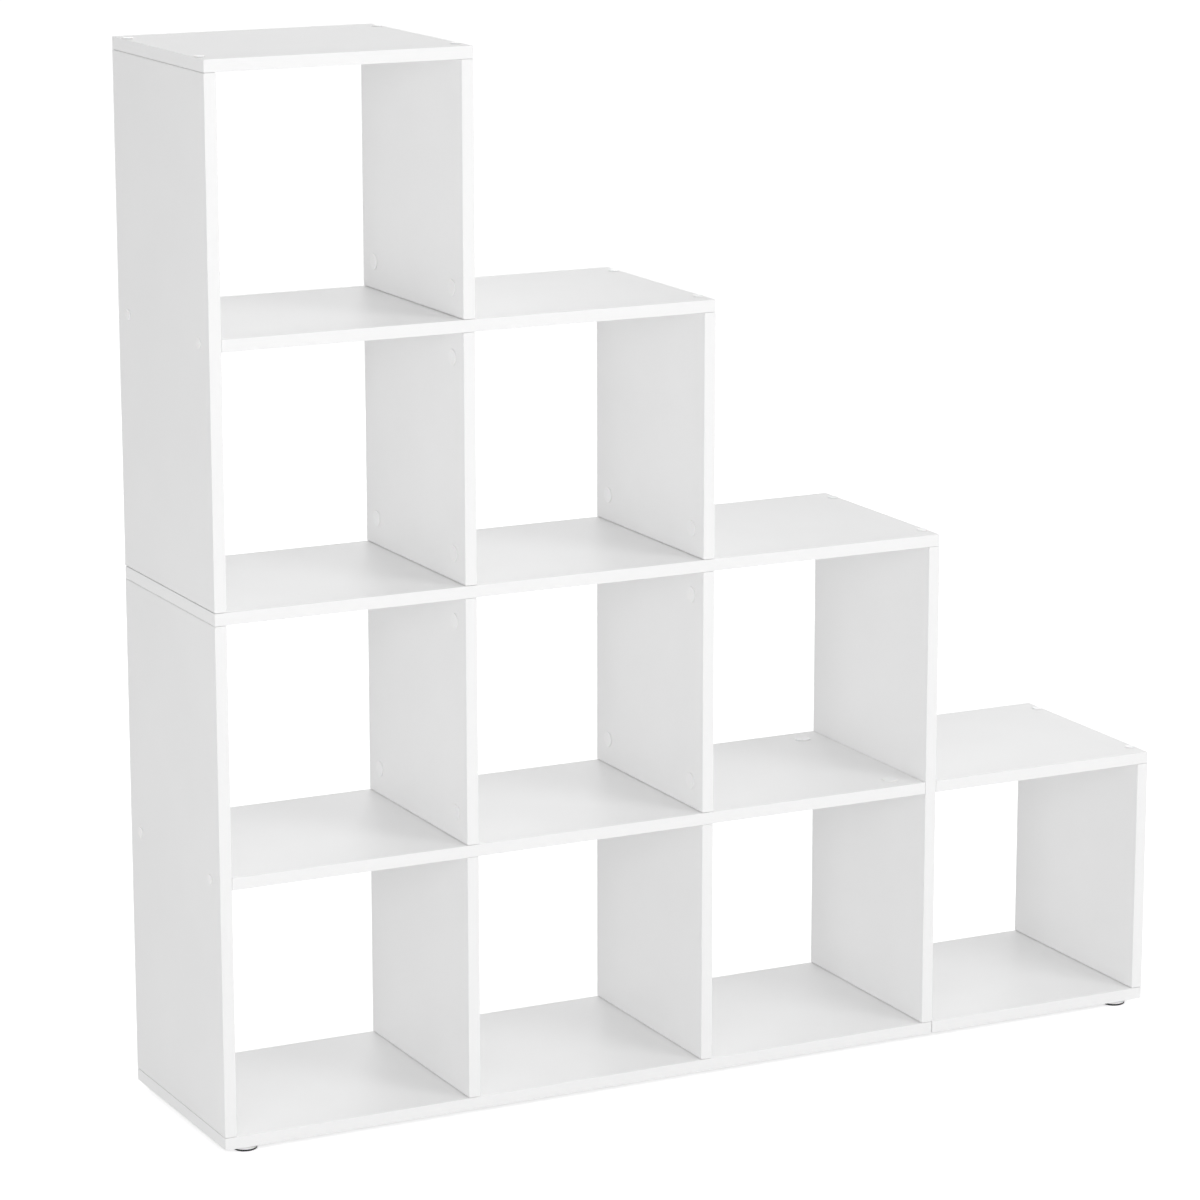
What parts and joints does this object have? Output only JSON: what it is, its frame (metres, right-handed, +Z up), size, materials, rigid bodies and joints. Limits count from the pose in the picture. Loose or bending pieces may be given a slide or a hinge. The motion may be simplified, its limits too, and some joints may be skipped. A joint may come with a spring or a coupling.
{
  "type": "cube bookcase",
  "caption": "Open cube bookcase that descends in steps, with through-open compartments between white boards and uprights, on low round glides.",
  "frame": {"origin": "on the floor under the middle of the bookcase, halfway across its width and depth", "axes": "+X to the right, towards the low end; +Y to the rear; +Z up"},
  "size_m": [1.2962, 0.29, 1.3032],
  "materials": {
    "white_board": "matt white melamine foil on chipboard, with white edging",
    "white_capped_steel": "steel screw under a white plastic cap",
    "white_covered_zinc": "zinc cams and steel bolt under white plastic covers",
    "zinc_plated_steel": "bright zinc plating",
    "foot_plastic": "pale grey-white moulded plastic"
  },
  "bodies": {
    "root": {"bottom_board": "white_board", "right_cube_bottom": "white_board", "right_cube_top": "white_board", "first_level_shelf": "white_board", "second_level_board": "white_board", "third_level_board": "white_board", "top_board": "white_board", "left_side_lower": "white_board", "left_side_upper": "white_board", "third_divider": "white_board", "right_side": "white_board", "first_divider_row_1": "white_board", "first_divider_row_2": "white_board", "first_divider_row_3": "white_board", "first_divider_row_4": "white_board", "second_divider_row_1": "white_board", "second_divider_row_2": "white_board", "second_divider_row_3": "white_board", "screw_top_left_front": "white_capped_steel", "screw_top_left_rear": "white_capped_steel", "screw_top_right_front": "white_capped_steel", "screw_top_right_rear": "white_capped_steel", "screw_third_level_front": "white_capped_steel", "screw_third_level_rear": "white_capped_steel", "screw_second_level_front": "white_capped_steel", "screw_second_level_rear": "white_capped_steel", "screw_right_cube_front": "white_capped_steel", "screw_right_cube_rear": "white_capped_steel", "screw_left_side_upper_front": "white_capped_steel", "screw_left_side_upper_rear": "white_capped_steel", "screw_left_side_lower_front": "white_capped_steel", "screw_left_side_lower_rear": "white_capped_steel", "bottom_screw_left_side_front": "zinc_plated_steel", "bottom_screw_left_side_rear": "zinc_plated_steel", "bottom_screw_first_divider_front": "zinc_plated_steel", "bottom_screw_first_divider_rear": "zinc_plated_steel", "bottom_screw_second_divider_front": "zinc_plated_steel", "bottom_screw_second_divider_rear": "zinc_plated_steel", "bottom_screw_third_divider_front": "zinc_plated_steel", "bottom_screw_third_divider_rear": "zinc_plated_steel", "bottom_screw_right_side_front": "zinc_plated_steel", "bottom_screw_right_side_rear": "zinc_plated_steel", "cams_first_divider_level_3_front": "white_covered_zinc", "cams_first_divider_level_3_rear": "white_covered_zinc", "cams_first_divider_level_2_front": "white_covered_zinc", "cams_first_divider_level_2_rear": "white_covered_zinc", "cams_second_divider_level_2_front": "white_covered_zinc", "cams_second_divider_level_2_rear": "white_covered_zinc", "cams_first_divider_level_1_front": "white_covered_zinc", "cams_first_divider_level_1_rear": "white_covered_zinc", "cams_second_divider_level_1_front": "white_covered_zinc", "cams_second_divider_level_1_rear": "white_covered_zinc", "cams_left_side_level_2_front": "white_covered_zinc", "cams_left_side_level_2_rear": "white_covered_zinc", "cams_third_divider_level_1_front": "white_covered_zinc", "cams_third_divider_level_1_rear": "white_covered_zinc", "foot_left_front": "foot_plastic", "foot_left_rear": "foot_plastic", "foot_right_front": "foot_plastic", "foot_right_rear": "foot_plastic"}
  },
  "joints": []
}
